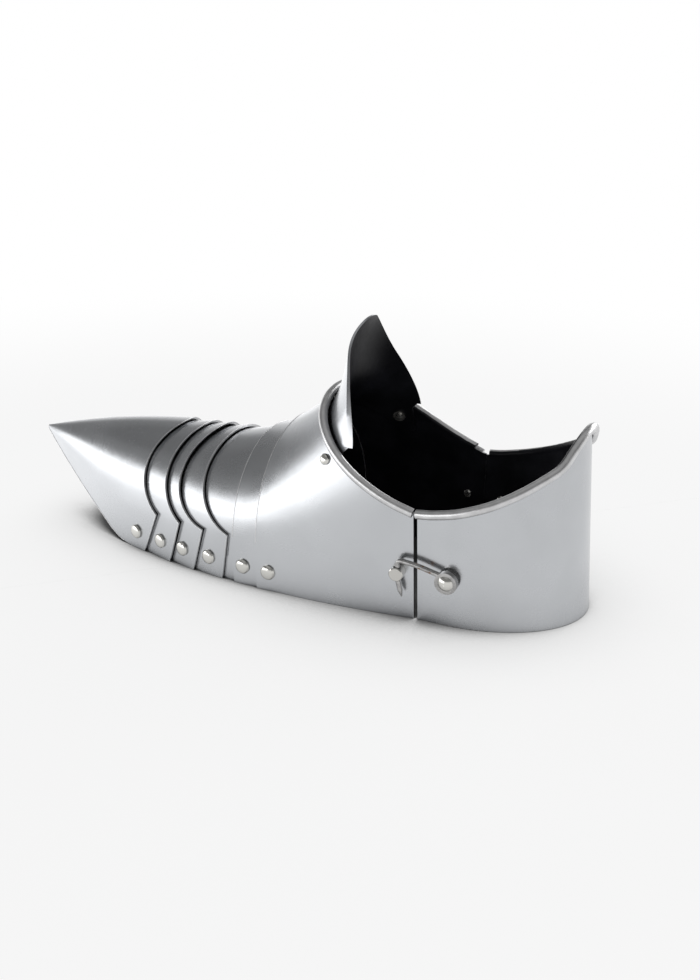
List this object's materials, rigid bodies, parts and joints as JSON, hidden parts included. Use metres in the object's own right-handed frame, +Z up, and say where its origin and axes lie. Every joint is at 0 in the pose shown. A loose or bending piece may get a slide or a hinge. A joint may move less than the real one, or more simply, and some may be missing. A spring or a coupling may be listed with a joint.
{
  "type": "sabaton",
  "caption": "Articulated plate sabaton for a left foot: pointed toe cap, overlapping riveted lames, ankle plate with rolled collar and tongue, hinged heel plate with hook and stud clasp.",
  "frame": {"origin": "on the floor, under the middle of the whole shoe", "axes": "+X from toe to heel, -Y to the outer side with the clasp, +Z up"},
  "size_m": [0.344, 0.1076, 0.1415],
  "materials": {
    "plate_steel": "polished outside, black inside",
    "rivet_steel": "polished",
    "washer_steel": "satin",
    "wire_steel": "satin",
    "clasp_steel": "polished"
  },
  "bodies": {
    "ankle": {"ankle_plate": "plate_steel", "tongue": "plate_steel", "tongue_rivets": "rivet_steel", "tongue_washers": "washer_steel", "ankle_edge_wire": "wire_steel", "stud": "clasp_steel", "hinge_front_leaf": "clasp_steel", "hinge_front_rivets": "rivet_steel", "hinge_pin": "wire_steel", "pivot_rivets_6": "rivet_steel", "pivot_washers_6": "washer_steel"},
    "instep_lame": {"lame_5": "plate_steel", "pivot_rivets_5": "rivet_steel", "pivot_washers_5": "washer_steel"},
    "ball_lame": {"lame_4": "plate_steel"},
    "third_lame": {"lame_3": "plate_steel", "pivot_rivets_4": "rivet_steel", "pivot_washers_4": "washer_steel"},
    "second_lame": {"lame_2": "plate_steel", "pivot_rivets_3": "rivet_steel", "pivot_washers_3": "washer_steel"},
    "first_lame": {"lame_1": "plate_steel", "pivot_rivets_2": "rivet_steel", "pivot_washers_2": "washer_steel"},
    "toe": {"toe_cap": "plate_steel", "pivot_rivets_1": "rivet_steel", "pivot_washers_1": "washer_steel"},
    "heel": {"heel_plate": "plate_steel", "heel_edge_wire": "wire_steel", "hinge_rear_leaf": "clasp_steel", "hinge_rear_rivets": "rivet_steel", "hook_rivet": "rivet_steel", "hook_spacer": "washer_steel"},
    "hook": {"hook": "clasp_steel"}
  },
  "joints": [
    {"name": "instep_flex", "type": "hinge", "parent": "ankle", "child": "instep_lame", "pos_m": [0.014, 0, 0.0105], "axis": [0, 1, 0], "range_deg": [-1, 5]},
    {"name": "ball_flex", "type": "hinge", "parent": "instep_lame", "child": "ball_lame", "pos_m": [-0.002, 0, 0.0105], "axis": [0, 1, 0], "range_deg": [-1, 5]},
    {"name": "third_flex", "type": "hinge", "parent": "ball_lame", "child": "third_lame", "pos_m": [-0.025, 0, 0.0105], "axis": [0, 1, 0], "range_deg": [-4, 4]},
    {"name": "second_flex", "type": "hinge", "parent": "third_lame", "child": "second_lame", "pos_m": [-0.044, 0, 0.0105], "axis": [0, 1, 0], "range_deg": [-3, 4]},
    {"name": "first_flex", "type": "hinge", "parent": "second_lame", "child": "first_lame", "pos_m": [-0.061, 0, 0.0105], "axis": [0, 1, 0], "range_deg": [-3, 2]},
    {"name": "toe_flex", "type": "hinge", "parent": "first_lame", "child": "toe", "pos_m": [-0.081, 0, 0.0105], "axis": [0, 1, 0], "range_deg": [-3, 1.5]},
    {"name": "heel_swing", "type": "hinge", "parent": "ankle", "child": "heel", "pos_m": [0.097, 0.05034, 0.027], "axis": [0, 0, 1], "range_deg": [0, 90]},
    {"name": "hook_swing", "type": "hinge", "parent": "heel", "child": "hook", "pos_m": [0.1148, -0.0468, 0.026], "axis": [-0.0383, 0.9979, 0.0521], "range_deg": [0, 175]}
  ]
}
